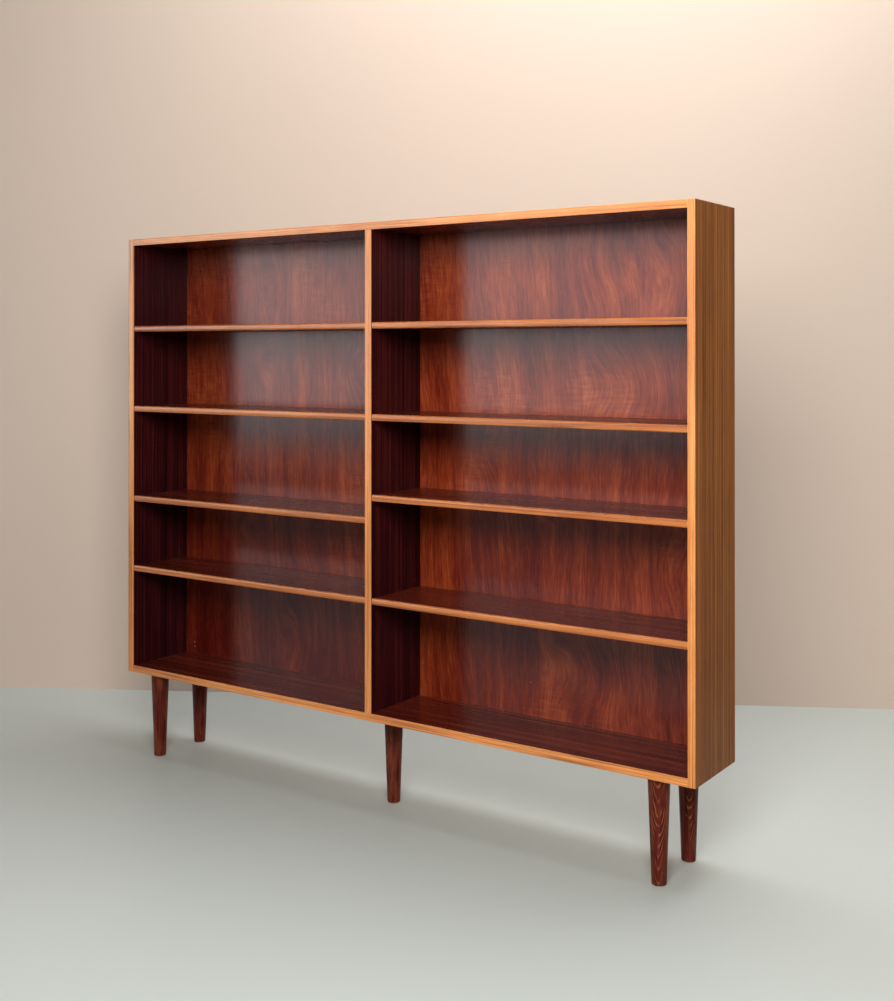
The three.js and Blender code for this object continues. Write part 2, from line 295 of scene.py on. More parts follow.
lippingLook = {
    "ribbon": 0.005, "wander": 0.006, "patchShare": 0.35, "fibreShare": 0.45,
    "tones": [(0.32, (0.390, 0.108, 0.020)), (0.44, (0.630, 0.214, 0.051)),
              (0.55, (0.790, 0.308, 0.085)), (0.68, (0.890, 0.410, 0.140))],
    "poreShade": 0.5, "poreColour": (0.25, 0.070, 0.020), "wear": 0.45, "wornColour": (0.84, 0.46, 0.23),
    "roughness": 0.30, "sheenChange": 0.10, "relief": 0.0004, "specular": 0.33,
}
noseLook = dict(lippingLook, roughness=0.26, specular=0.33, tones=[
    (0.32, (0.235, 0.050, 0.010)), (0.44, (0.400, 0.112, 0.024)),
    (0.55, (0.535, 0.172, 0.042)), (0.68, (0.670, 0.258, 0.078))])
coreLook = {
    "ribbon": 0.0015, "wander": 0.001, "patchShare": 0.2, "fibreShare": 0.5,
    "tones": [(0.3, (0.36, 0.22, 0.11)), (0.5, (0.52, 0.35, 0.19)), (0.7, (0.64, 0.46, 0.28))],
    "poreShade": 0.4, "poreColour": (0.22, 0.12, 0.06), "wear": 0.0, "wornColour": (0.6, 0.45, 0.3),
    "roughness": 0.75, "sheenChange": 0.05, "relief": 0.0003,
}
outerUpright = veneer("outerVeneerUpright", "Z", outerLook)
outerLevel = veneer("outerVeneerLevel", "X", outerLook)
# painted shade: the inner faces of the sides and the divider get the darkened copy of the inner veneer
innerUprightPaintedShade = veneer("innerVeneerUprightPaintedShade", "Z", paintedShadeLook)
innerLevel = veneer("innerVeneerLevel", "X", innerLook)
lippingUpright = veneer("lippingUpright", "Z", dict(lippingLook, streakColour=(0.40, 0.135, 0.040)))
lippingLevel = veneer("lippingLevel", "X", dict(lippingLook, streakColour=(0.26, 0.075, 0.022)))
shelfNose = veneer("shelfNose", "X", dict(noseLook, streakColour=(0.20, 0.055, 0.020)))
tonguePly = veneer("tonguePly", "Y", coreLook)
print("straight veneers ready")


# Figured veneer for the back panels: the grain lines are the level lines of a field that leans and
# wanders over the panel and is lifted by knots, so they swing round each knot and close over some.
backLook = {
    "lean": 0.04, "wander": 0.12, "lines": 54.0, "streaks": 17.0,
    # paintedFootShade: painted shade, each panel's tone drawn down towards its foot, the left panel more, for
    # the light that falls off low in the bays and in the left bay
    "paintedFootShade": {"left": -0.150, "right": -0.045},  # how much darker the foot of each panel is
    "poreShade": 0.5, "poreColour": (0.045, 0.008, 0.006), "scuffColour": (0.45, 0.38, 0.33),
    "tones": [(0.30, (0.080, 0.006, 0.004)), (0.42, (0.150, 0.017, 0.007)), (0.51, (0.235, 0.034, 0.011)),
              (0.60, (0.330, 0.062, 0.018)), (0.74, (0.470, 0.125, 0.045))],
    "rearTones": [(0.3, (0.16, 0.070, 0.035)), (0.5, (0.24, 0.115, 0.060)), (0.7, (0.32, 0.165, 0.090))],
    "roughness": 0.19, "sheenChange": 0.07, "specular": 0.25, "relief": 0.0003, "bump": 0.22,
}
# Knots of each panel: place across and up as shares of the panel, reach across and up in metres,
# height of the hump and strength of its sheen
knots = {
    "left": [(0.43, 0.90, 0.07, 0.24, -0.045, 0.8), (0.85, 0.93, 0.12, 0.25, 0.05, -0.9),
             (0.36, 0.72, 0.07, 0.09, 0.055, -1.5), (0.76, 0.70, 0.06, 0.10, 0.035, 1.2),
             (0.95, 0.50, 0.16, 0.14, 0.10, -1.4), (0.30, 0.46, 0.025, 0.03, 0.02, 1.0),
             (0.30, 0.33, 0.06, 0.05, 0.05, 1.2), (0.55, 0.10, 0.12, 0.28, -0.06, 1.2)],
    "right": [(0.62, 0.93, 0.15, 0.16, 0.035, -1.4), (0.85, 0.88, 0.08, 0.25, -0.04, 0.8),
              (0.70, 0.68, 0.17, 0.14, -0.055, 1.6), (0.25, 0.55, 0.06, 0.12, 0.03, 1.2),
              (0.45, 0.42, 0.045, 0.035, 0.05, 0.7), (0.47, 0.18, 0.07, 0.08, 0.055, 1.0),
              (0.58, 0.10, 0.14, 0.12, -0.045, -1.5), (0.82, 0.32, 0.09, 0.30, 0.04, 1.0)],
}
# Scuffs low on the left panel: place across and up as shares of the panel, radius in metres
scuffs = {"left": [(0.0475, 0.0330, 0.0026), (0.0475, 0.0220, 0.0026)], "right": [(0.40, 0.075, 0.0016)]}


def figuredVeneer(name, side, look):
    low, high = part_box(side + "_back_panel")
    material, tree = newMaterial(name)
    where = addNode(tree, "TexCoord").outputs["Object"]
    split = addNode(tree, "SeparateXYZ", {0: where}).outputs
    slow = noise(tree, scaled(tree, where, (3.4, 0.0, 1.5)), 1.0, 2.0, 0.45)
    field = calc(tree, "MULTIPLY_ADD", slow, look["wander"], split["X"])
    field = calc(tree, "MULTIPLY_ADD", split["Z"], look["lean"], field)
    sheen = 0.0
    for across, up, wide, tall, height, turn in knots[side]:
        place = (low.x + across * (high.x - low.x), 0.0, low.z + up * (high.z - low.z))
        knot = fillGroup(tree, grainKnot, {"Vector": where, "Place": place, "Height": height, "Turn": turn,
                                           "Reach": (1 / wide, 0.0, 1 / tall)})
        field = calc(tree, "ADD", field, knot["Lift"])
        sheen = calc(tree, "ADD", knot["Sheen"], sheen)
    along = calc(tree, "MULTIPLY", split["Z"], 0.06)
    rings = addNode(tree, "CombineXYZ", {0: field, 1: 0.0, 2: along}).outputs[0]
    broad = noise(tree, rings, look["lines"], 4.0, 0.72)
    streak = noise(tree, rings, look["streaks"], 1.0, 0.5)
    fine = noise(tree, scaled(tree, rings, (4.2, 1.0, 6.0)), look["lines"], 3.0, 0.68)
    patch = noise(tree, scaled(tree, where, (4.0, 1.0, 2.6)), 1.0, 2.0, 0.5, 0.6)
    ripple = noise(tree, scaled(tree, where, (16.0, 1.0, 130.0)), 1.0, 2.0, 0.5)
    rippleMask = spread(tree, patch, 0.50, 0.66)
    tone = calc(tree, "MULTIPLY_ADD", broad, 0.42, calc(tree, "MULTIPLY", patch, 0.30))
    tone = calc(tree, "MULTIPLY_ADD", streak, 0.28, tone)
    # the knots' painted sheen goes into the colour as fixed light and dark wings
    tone = calc(tree, "MULTIPLY_ADD", sheen, 0.45, tone)
    tone = calc(tree, "MULTIPLY_ADD", calc(tree, "SUBTRACT", fine, 0.5), 0.42, tone)
    # painted shade: the tone darkens from the middle of the panel down to its foot
    shade = spread(tree, split["Z"], (low.z + high.z) / 2, low.z, 0.0, look["paintedFootShade"][side])
    tone = calc(tree, "ADD", tone, shade)
    rippled = calc(tree, "MULTIPLY", calc(tree, "SUBTRACT", ripple, 0.5),
                   calc(tree, "MULTIPLY", rippleMask, 0.22))
    colour = ramp(tree, calc(tree, "ADD", tone, rippled), look["tones"])
    grain = fillGroup(tree, straightGrain, {"Vector": where, "Ribbon Width": 0.02, "Wander": 0.02})
    colour = withPores(tree, colour, grain["Pores"], look)
    for across, up, radius in scuffs[side]:
        place = (low.x + across * (high.x - low.x), low.y, low.z + up * (high.z - low.z))
        away = addNode(tree, "VectorMath", {0: where, 1: place}, operation="DISTANCE").outputs["Value"]
        colour = blended(tree, spread(tree, away, radius, radius * 0.4, 0.0, 0.8), colour,
                         opaque(look["scuffColour"]))
    rear = ramp(tree, shared(tree, grain["Fibre"], 0.3, grain["Ribbon"]), look["rearTones"])
    behind = spread(tree, split["Y"], low.y + 0.0010, low.y + 0.0012)
    colour = blended(tree, behind, colour, rear)
    film = rubbed(tree, where, fine, grain["Pores"], look)
    roughness = calc(tree, "MULTIPLY_ADD", behind, 0.3, film["Roughness"])
    finishMaterial(tree, colour, roughness, film["Height"], look["relief"], look)
    return material


backVeneer = {side: figuredVeneer(side + "BackVeneer", side, backLook) for side in ("left", "right")}
print("figured veneers ready")


# Turned leg wood: thin light growth lines on a dark ground. The rings lean against the leg's axis, so
# they come out on the round face as stacked points that look down.
legLook = {
    "tones": [(0.34, (0.028, 0.003, 0.003)), (0.47, (0.077, 0.010, 0.006)), (0.64, (0.145, 0.024, 0.014))],
    "lineColour": (0.40, 0.125, 0.048), "pithDistance": 0.060, "ringLean": -0.048, "ringPitch": 0.0021,
    "poreShade": 0.5, "poreColour": (0.018, 0.006, 0.005), "wear": 0.5, "wornColour": (0.22, 0.085, 0.045),
    "roughness": 0.34, "sheenChange": 0.08, "relief": 0.0004, "specular": 0.09,
}


def turnedWood(name, look):
    material, tree = newMaterial(name)
    place = addNode(tree, "Attribute", None, attribute_name="turned").outputs["Vector"]
    split = addNode(tree, "SeparateXYZ", {0: place}).outputs
    fromPith = calc(tree, "SUBTRACT", split["Y"], look["pithDistance"])
    flat = addNode(tree, "CombineXYZ", {0: split["X"], 1: fromPith, 2: 0.0}).outputs[0]
    radius = addNode(tree, "VectorMath", {0: flat}, operation="LENGTH").outputs["Value"]
    wobble = noise(tree, scaled(tree, place, (28.0, 28.0, 9.0)), 1.0, 2.0, 0.5)
    rings = calc(tree, "MULTIPLY_ADD", split["Z"], look["ringLean"], calc(tree, "MULTIPLY", radius, -1.0))
    rings = calc(tree, "MULTIPLY_ADD", wobble, 0.008, rings)
    cycle = calc(tree, "DIVIDE", rings, look["ringPitch"])
    saw = calc(tree, "PINGPONG", cycle, 0.5)
    lineNoise = noise(tree, scaled(tree, place, (60.0, 60.0, 12.0)), 1.0, 2.0, 0.6)
    line = calc(tree, "MULTIPLY", spread(tree, saw, 0.28, 0.47), spread(tree, lineNoise, 0.40, 0.62))
    grain = fillGroup(tree, straightGrain, {"Vector": place, "Ribbon Width": 0.006, "Wander": 0.004})
    colour = ramp(tree, shared(tree, grain["Fibre"], 0.35, grain["Ribbon"]), look["tones"])
    streak = calc(tree, "MULTIPLY", line, spread(tree, grain["Fibre"], 0.30, 0.60, 0.45, 1.0))
    colour = blended(tree, calc(tree, "MULTIPLY", streak, 0.85), colour, opaque(look["lineColour"]))
    colour = withPores(tree, colour, grain["Pores"], look)
    colour = withWear(tree, place, colour, look)
    film = rubbed(tree, place, grain["Fibre"], grain["Pores"], look)
    finishMaterial(tree, colour, film["Roughness"], film["Height"], look["relief"], look)
    return material


# Drawn steel: bright metal with fine lengthwise draw marks and a few dull spots.
def drawnSteel(name, tint, roughness):
    material, tree = newMaterial(name)
    where = addNode(tree, "TexCoord").outputs["Object"]
    marks = noise(tree, scaled(tree, where, (2600.0, 160.0, 2600.0)), 1.0, 2.0, 0.6)
    spots = spread(tree, noise(tree, where, 210.0, 3.0, 0.6), 0.55, 0.70)
    colour = blended(tree, calc(tree, "MULTIPLY", spots, 0.5), opaque(tint), opaque(tint, 0.45))
    colour = blended(tree, calc(tree, "MULTIPLY", marks, 0.3), colour, opaque(tint, 0.7))
    rough = calc(tree, "MULTIPLY_ADD", spots, 0.25, calc(tree, "MULTIPLY_ADD", marks, 0.15, roughness))
    finishMaterial(tree, colour, rough, marks, 0.0001, {"metallic": 1.0, "bump": 0.25})
    return material


legWood = turnedWood("turnedLegWood", legLook)
wireSteel = drawnSteel("wireSteel", (0.62, 0.61, 0.58), 0.24)
boltSteel = drawnSteel("boltSteel", (0.50, 0.50, 0.49), 0.34)
screwBrass = drawnSteel("screwBrass", (0.66, 0.46, 0.20), 0.30)
print("turned wood and metals ready")


# Meshes

def makePiece(name, points, faces, materials, body, replaced=(), arris=None, faceMaterial=None,
              turned=None, sharpAngle=0.6):
    mesh = bpy.data.meshes.new(name)
    mesh.from_pydata(points, [], faces)
    mesh.polygons.foreach_set("use_smooth", np.ones(len(mesh.polygons), bool))
    if faceMaterial is not None:
        mesh.polygons.foreach_set("material_index", np.asarray(faceMaterial, np.int32))
    for material in materials:
        mesh.materials.append(material)
    values = np.zeros(len(points), np.float32) if arris is None else np.asarray(arris, np.float32)
    mesh.attributes.new("arris", "FLOAT", "POINT").data.foreach_set("value", values)
    if turned is not None:
        mesh.attributes.new("turned", "FLOAT_VECTOR", "POINT").data.foreach_set(
            "vector", np.asarray(turned, np.float32).ravel())
    mesh.set_sharp_from_angle(angle=sharpAngle)
    mesh.update()
    piece = bpy.data.objects.new(name, mesh)
    bpy.context.scene.collection.objects.link(piece)
    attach(piece, body)
    if replaced:
        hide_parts(*replaced)
    return piece


def cornersOf(name):  # a node's lowest and highest corners, to be changed or worked with
    return (np.array(corner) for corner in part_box(name))


# Grid lines across a board: steps that share out the arris by angle at both ends, a line where the
# arris band ends, and the lines that cuts need.
def linesAcross(low, high, arris, band, extra=()):
    low, high = round(float(low), 6), round(float(high), 6)
    steps = arris * (1 - np.tan(np.radians([45.0, 22.5, 0.0])))
    ends = np.append(steps, arris + band)
    lines = np.concatenate([low + ends, high - ends, np.asarray(list(extra), float)])
    lines = np.unique(np.round(lines, 7))
    return lines[(lines >= low) & (lines <= high)]


# The six faces of a box as grids of quads that share their border points, facing outwards.
def boxSkin(lines):
    count = [len(each) for each in lines]
    strides = (count[1] * count[2], count[2], 1)
    quads, normals = [], []
    for axis in range(3):
        u, v = (axis + 1) % 3, (axis + 2) % 3
        i, j = np.meshgrid(np.arange(count[u] - 1), np.arange(count[v] - 1), indexing="ij")
        start = (i * strides[u] + j * strides[v]).ravel()
        loop = np.stack([start, start + strides[u], start + strides[u] + strides[v], start + strides[v]], 1)
        for end, order in ((0, [0, 3, 2, 1]), (count[axis] - 1, [0, 1, 2, 3])):
            quads.append(loop[:, order] + end * strides[axis])
            normals.append(np.full(len(loop), (axis + 1) * (1 if end else -1)))
    quads, normals = np.concatenate(quads), np.concatenate(normals)
    used, quads = np.unique(quads, return_inverse=True)
    points = np.stack([lines[0][used // strides[0]], lines[1][used // strides[1] % count[1]],
                       lines[2][used % count[2]]], 1)
    return points, quads.reshape(-1, 4), normals


# Rounds a box's arrises: a point is drawn into the box that is smaller by the radius all round, and
# goes back out from there by the radius.
def easeArrises(points, radius):
    low, high = points.min(0), points.max(0)
    core = np.clip(points, low + radius, high - radius)
    out = points - core
    return core + out / np.linalg.norm(out, axis=1, keepdims=True) * radius


# How near a point of the box is to an arris: the second smallest of its distances to the box's faces,
# turned into 1 on the arris and 0 where the band ends.
def arrisShare(points, radius, band):
    away = np.minimum(points - points.min(0), points.max(0) - points)
    return np.clip(1 - np.sort(away, axis=1)[:, 1] / (radius + band), 0, 1)


# The skin of a run of rings, one row of points each, with a flat face over the first and the last ring.
def closedTube(rows, columns, reverse=False):
    i, j = np.meshgrid(np.arange(rows - 1), np.arange(columns), indexing="ij")
    a, b = i * columns + j, i * columns + (j + 1) % columns
    first, last = list(range(columns)), [(rows - 1) * columns + k for k in range(columns)]
    loop, ends = [a, b, b + columns, a + columns], [first[::-1], last]
    if reverse:
        loop, ends = [a, a + columns, b + columns, b], [first, last[::-1]]
    return np.stack(loop, -1).reshape(-1, 4).tolist() + ends


# A recess: where the other two coordinates are within the given stretches, the board is drawn in
# along the axis by one depth from its low face and by another from its high face.
def cutRecess(points, rest, axis, fromLow, fromHigh, within):
    inside = np.ones(len(rest), bool)
    for other, (start, stop) in within.items():
        inside &= (rest[:, other] > start) & (rest[:, other] < stop)
    low, high = rest[:, axis].min(), rest[:, axis].max()
    share = (rest[inside, axis] - low) / (high - low)
    points[inside, axis] += fromLow * (1 - share) - fromHigh * share


# A round hole: the square of grid round its centre is drawn to circles, the outer one the rim, the
# next the top of the wall, the third its foot, and the middle is the hole's floor.
def drillHole(points, rest, axis, face, inward, centre, hole):
    u, v = [other for other in range(3) if other != axis]
    away = rest[:, [u, v]] - centre
    reach = np.abs(away).max(axis=1) / hole["radius"]
    hit = (np.abs(rest[:, axis] - face) < 1e-6) & (reach < 1.001)
    bearing = np.arctan2(away[hit, 1], away[hit, 0])
    ease, depth = hole["ease"], hole["depth"]
    rings = [0, 1 / 3, 2 / 3, 1]
    wide = np.interp(reach[hit], rings, [0, hole["radius"] * 0.96, hole["radius"], hole["radius"] + ease])
    points[hit, u] = centre[0] + wide * np.cos(bearing)
    points[hit, v] = centre[1] + wide * np.sin(bearing)
    points[hit, axis] += inward * np.interp(reach[hit], rings, [depth, depth, ease, 0])


def holeLines(centres, radius):
    return [c + radius * step / 3 for c in centres for step in range(-3, 4)]


def edgeLines(*limits):  # a pair of lines at each limit of a cut, so that its walls stand square
    return [limit + side for limit in limits for side in (-wallHalf, wallHalf)]


wallHalf = 0.00004
beyond = 9.0  # a limit that no board reaches
boardArris = {"radius": 0.0006, "band": 0.0020}


def boardLines(low, high, extra):
    radius, band = boardArris["radius"], boardArris["band"]
    return [linesAcross(low[k], high[k], radius, band, extra[k]) for k in range(3)]


def wearShare(rest):
    return arrisShare(rest, boardArris["radius"], boardArris["band"])


# Case

case = {
    "veneerThickness": 0.0006,  # face veneer that runs over the outside of the sides, lipping and all
    "sheetGap": 0.00002,
    "supportHole": {"radius": 0.0019, "ease": 0.0003, "depth": 0.0095},
    "boltHole": {"radius": 0.0043, "ease": 0.0004, "depth": 0.0124},
    "mortiseSlack": 0.0003,
    "holePitch": 0.030,
    "holeMargin": 0.130,  # least height between a row's ends and the boards
    "lippingArris": (0.0005, 0.0010),  # radius, and band of wear beside it
    "sheetArris": (0.00025, 0.0015),
    "panelArris": (0.0003, 0.0015),
}
backLow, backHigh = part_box("left_back_panel")
rebateY = backLow.y - case["mortiseSlack"]
rebateZ = (backLow.z - case["mortiseSlack"], backHigh.z + case["mortiseSlack"])
wireLow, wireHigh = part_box("left_shelf_1_left_wire")
wireRadius = (wireHigh.z - wireLow.z) / 2
holeY = [wireLow.y + wireRadius, wireHigh.y - wireRadius]
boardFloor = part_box("bottom_board")[1].z
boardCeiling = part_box("top_board")[0].z
topShelf = (wireLow.z + wireHigh.z) / 2
holesBelow = int((topShelf - boardFloor - case["holeMargin"]) / case["holePitch"])
holesAbove = int((boardCeiling - topShelf - case["holeMargin"]) / case["holePitch"])
holeZ = [topShelf + case["holePitch"] * step for step in range(-holesBelow, holesAbove + 1)]
skin = case["veneerThickness"] + case["sheetGap"]
print("support holes in a row:", len(holeZ))


def tongueRange(name, axis):
    low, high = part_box(name)
    return (low[axis] - case["mortiseSlack"], high[axis] + case["mortiseSlack"])


def drillRows(points, rest, face, inward):
    for y in holeY:
        for z in holeZ:
            drillHole(points, rest, 0, face, inward, (y, z), case["supportHole"])


def makeSidePanel(side, sign):
    name = side + "_side_panel"
    low, high = cornersOf(name)
    if sign > 0:
        high[0] -= skin
    else:
        low[0] += skin
    inner = low[0] if sign > 0 else high[0]
    tongues = [f"{side}_bottom_tongue", f"{side}_top_tongue"]
    tongueY = tongueRange(tongues[0], 1)
    tongueZ = [tongueRange(t, 2) for t in tongues]
    radius = case["supportHole"]["radius"]
    extra = {
        0: (),
        1: holeLines(holeY, radius) + edgeLines(*tongueY, rebateY),
        2: holeLines(holeZ, radius) + edgeLines(*tongueZ[0], *tongueZ[1], *rebateZ),
    }
    rest, quads, normals = boxSkin(boardLines(low, high, extra))
    points = easeArrises(rest, boardArris["radius"])
    reach = abs(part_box(tongues[0])[0 if sign < 0 else 1][0] - inner) + case["mortiseSlack"]
    panelEdge = backLow.x if sign < 0 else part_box("right_back_panel")[1].x
    overhang = abs(panelEdge - inner) + case["mortiseSlack"]
    for cutY, cutZ, depth in ((tongueY, tongueZ[0], reach), (tongueY, tongueZ[1], reach),
                              ((rebateY, beyond), rebateZ, overhang)):
        depths = (depth, 0.0) if sign > 0 else (0.0, depth)
        cutRecess(points, rest, 0, *depths, {1: cutY, 2: cutZ})
    drillRows(points, rest, inner, sign)
    inside = normals == (-1 if sign > 0 else 1)
    makePiece(name, points, quads, [outerUpright, innerUprightPaintedShade], "case", [name],
              wearShare(rest), inside)


# A plain rectangular piece with eased arrises.
def makeBlock(name, low, high, material, slotName, replaced=(), arris=0.0006, band=0.0012, body="case"):
    lines = [linesAcross(low[k], high[k], arris, band) for k in range(3)]
    rest, quads, _ = boxSkin(lines)
    makePiece(name, easeArrises(rest, arris), quads, [material], body, replaced,
              arrisShare(rest, arris, band))


def makeLipping(name, low, high, material):
    makeBlock(name, low, high, material, "edge_lipping", [name], *case["lippingArris"])


for side, sign in (("left", -1), ("right", 1)):
    makeSidePanel(side, sign)
    lippingLow, lippingHigh = cornersOf(side + "_side_lipping")
    sheetLow, sheetHigh = cornersOf(side + "_side_panel")
    sheetLow[1] = lippingLow[1]
    if sign > 0:
        lippingHigh[0] -= skin
        sheetLow[0] = sheetHigh[0] - case["veneerThickness"]
    else:
        lippingLow[0] += skin
        sheetHigh[0] = sheetLow[0] + case["veneerThickness"]
    makeLipping(side + "_side_lipping", lippingLow, lippingHigh, lippingUpright)
    makeBlock(side + "_outer_veneer", sheetLow, sheetHigh, outerUpright, "side_veneer", (),
              *case["sheetArris"])
print("sides ready")


def makeLevelBoard(level, sign):
    # sign is +1 for the top board, whose inner face looks down, and -1 for the bottom board
    name = level + "_board"
    low, high = cornersOf(name)
    ends = [f"left_{level}_tongue", f"right_{level}_tongue"]
    middle = f"divider_{level}_tongue"
    tongueY, tongueZ = tongueRange(ends[0], 1), tongueRange(ends[0], 2)
    middleX = tongueRange(middle, 0)
    bolts = [n for n in frame["nodes"] if n.endswith("_leg_bolt")] if sign < 0 else []
    boltPlaces = [tuple(((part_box(n)[0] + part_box(n)[1]) / 2)[:2]) for n in sorted(bolts)]
    radius = case["boltHole"]["radius"]
    extra = {
        0: edgeLines(*middleX) + holeLines(sorted({round(x, 6) for x, _ in boltPlaces}), radius),
        1: edgeLines(*tongueY, rebateY) + holeLines(sorted({round(y, 6) for _, y in boltPlaces}), radius),
        2: edgeLines(*tongueZ),
    }
    rest, quads, normals = boxSkin(boardLines(low, high, extra))
    points = easeArrises(rest, boardArris["radius"])
    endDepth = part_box(ends[0])[1].x - low[0] + case["mortiseSlack"]
    cutRecess(points, rest, 0, endDepth, endDepth, {1: tongueY, 2: tongueZ})
    innerFace = low[2] if sign > 0 else high[2]
    middleDepth = abs(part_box(middle)[1 if sign > 0 else 0].z - innerFace) + case["mortiseSlack"]
    panelReach = abs((backHigh.z if sign > 0 else backLow.z) - innerFace) + case["mortiseSlack"]
    for depth, within in ((middleDepth, {1: tongueY, 0: middleX}), (panelReach, {1: (rebateY, beyond)})):
        depths = (depth, 0.0) if sign > 0 else (0.0, depth)
        cutRecess(points, rest, 2, *depths, within)
    for place in boltPlaces:
        drillHole(points, rest, 2, low[2], 1, place, case["boltHole"])
    inside = normals == (-3 if sign > 0 else 3)
    makePiece(name, points, quads, [outerLevel, innerLevel], "case", [name],
              wearShare(rest), inside)
    makeLipping(level + "_lipping", *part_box(level + "_lipping"), lippingLevel)


def makeDivider():
    low, high = cornersOf("divider")
    tongueY, tongueX = tongueRange("divider_top_tongue", 1), tongueRange("divider_top_tongue", 0)
    radius = case["supportHole"]["radius"]
    extra = {
        0: edgeLines(*tongueX),
        1: holeLines(holeY, radius) + edgeLines(*tongueY),
        2: holeLines(holeZ, radius),
    }
    rest, quads, _ = boxSkin(boardLines(low, high, extra))
    points = easeArrises(rest, boardArris["radius"])
    depth = high[2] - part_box("divider_top_tongue")[0].z + case["mortiseSlack"]
    cutRecess(points, rest, 2, depth, depth, {0: tongueX, 1: tongueY})
    drillRows(points, rest, low[0], 1)
    drillRows(points, rest, high[0], -1)
    # each hole is cut to the middle from both faces: the two floors are left out and their rims joined
    middle = (low[0] + high[0]) / 2
    points[np.abs(points[:, 0] - middle) < 1e-6, 0] = middle
    onFloor = np.all(points[quads, 0] == middle, axis=1)
    _, first, joined = np.unique(np.round(points, 7), axis=0, return_index=True, return_inverse=True)
    used, quads = np.unique(joined.ravel()[quads[~onFloor]], return_inverse=True)
    kept = first[used]
    makePiece("divider", points[kept], quads.reshape(-1, 4), [innerUprightPaintedShade], "case",
              ["divider"], wearShare(rest)[kept])
    makeLipping("divider_lipping", *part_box("divider_lipping"), lippingUpright)


makeLevelBoard("top", 1)
makeLevelBoard("bottom", -1)
makeDivider()
print("top, bottom and divider ready")


# Back panels, with a row of small slotted screws round each

backScrews = {"headRadius": 0.0032, "headRise": 0.0009, "pitch": 0.16, "inset": 0.0045, "segments": 20,
              "slotWidth": 0.0008, "slotDepth": 0.0007, "sunk": 0.0004, "turnStep": 2.4}


# Screw heads: a low dome, its height falling with the square of the distance from its middle, with a
# straight slot sunk across it. One head is a disc of rings, and all heads are that disc moved.
def makeScrews(name, centres, rearY):
    s = backScrews
    share = np.array([0.0, 0.13, 0.3, 0.5, 0.7, 0.88, 1.0, 1.0])
    angle = np.linspace(0, 2 * np.pi, s["segments"], endpoint=False)
    x = share[1:, None] * s["headRadius"] * np.cos(angle)
    z = share[1:, None] * s["headRadius"] * np.sin(angle)
    rise = s["headRise"] * (1 - 0.75 * share[1:, None] ** 2) + 0 * x
    rise[-1] = -s["sunk"]
    slotted = (np.abs(z) < s["slotWidth"] / 2) & (share[1:, None] < 0.95)
    rise = rise - s["slotDepth"] * slotted
    ring = np.stack([x, rise, z], -1).reshape(-1, 3)
    head = np.vstack([ring, [0, s["headRise"] - s["slotDepth"], 0]])
    rings, n = len(share) - 1, s["segments"]
    k, a = np.meshgrid(np.arange(rings - 1), np.arange(n), indexing="ij")
    near, far = k * n + a, k * n + (a + 1) % n
    quads = np.stack([near, far, far + n, near + n], -1).reshape(-1, 4)
    middle = np.stack([np.full(n, rings * n), (np.arange(n) + 1) % n, np.arange(n)], -1)
    points, faces = [], []
    for index, (cx, cz) in enumerate(centres):
        turn = 0.6 + s["turnStep"] * index  # every slot stands at its own angle
        spin = np.array([[np.cos(turn), 0, np.sin(turn)], [0, 1, 0], [-np.sin(turn), 0, np.cos(turn)]])
        points.append(head @ spin.T + [cx, rearY, cz])
        base = index * len(head)
        faces += (quads + base).tolist() + (middle + base).tolist()
        faces.append((np.arange(n) + base + (rings - 1) * n).tolist())
    makePiece(name, np.concatenate(points), faces, [screwBrass], "case", sharpAngle=0.5)


for side in ("left", "right"):
    name = side + "_back_panel"
    low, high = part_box(name)
    makeBlock(name, low, high, backVeneer[side], "back_veneer", [name], *case["panelArris"])
    inset = backScrews["inset"]
    edges = (low.x + inset, high.x - inset) if side == "left" else (high.x - inset, low.x + inset)
    steps = [round(length / backScrews["pitch"]) + 1 for length in (high.x - low.x, high.z - low.z)]
    across = np.linspace(low.x + inset, high.x - inset, steps[0])
    up = np.linspace(low.z + inset, high.z - inset, steps[1])[1:-1]
    centres = [(x, z) for z in (low.z + inset, high.z - inset) for x in across]
    centres += [(x, z) for x in edges for z in up]
    makeScrews(side + "_back_screws", centres, high.y)
print("back panels ready")


# Shelves

shelf = {"arris": 0.0006, "grooveSlack": 0.0004, "grooveLead": 0.0015, "noseEase": 0.0012, "noseArc": 14,
         "noseSquareness": 3.4, "noseBulge": 5 / 9, "noseBack": 0.0004, "noseBand": 0.0022}


def makeShelf(name, body):
    low, high = cornersOf(name)
    middle = (low[2] + high[2]) / 2
    wireLow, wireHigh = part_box(name + "_left_wire")
    depth = wireHigh.x - low[0] + shelf["grooveSlack"]
    half = (wireHigh.z - wireLow.z) / 2 + shelf["grooveSlack"]
    grooveY = wireLow.y - shelf["grooveLead"]
    extra = {0: (), 1: edgeLines(grooveY), 2: edgeLines(middle - half, middle + half)}
    rest, quads, _ = boxSkin(boardLines(low, high, extra))
    points = easeArrises(rest, shelf["arris"])
    cutRecess(points, rest, 0, depth, depth, {1: (grooveY, beyond), 2: (middle - half, middle + half)})
    makePiece(name, points, quads, [innerLevel], body, [name], wearShare(rest))


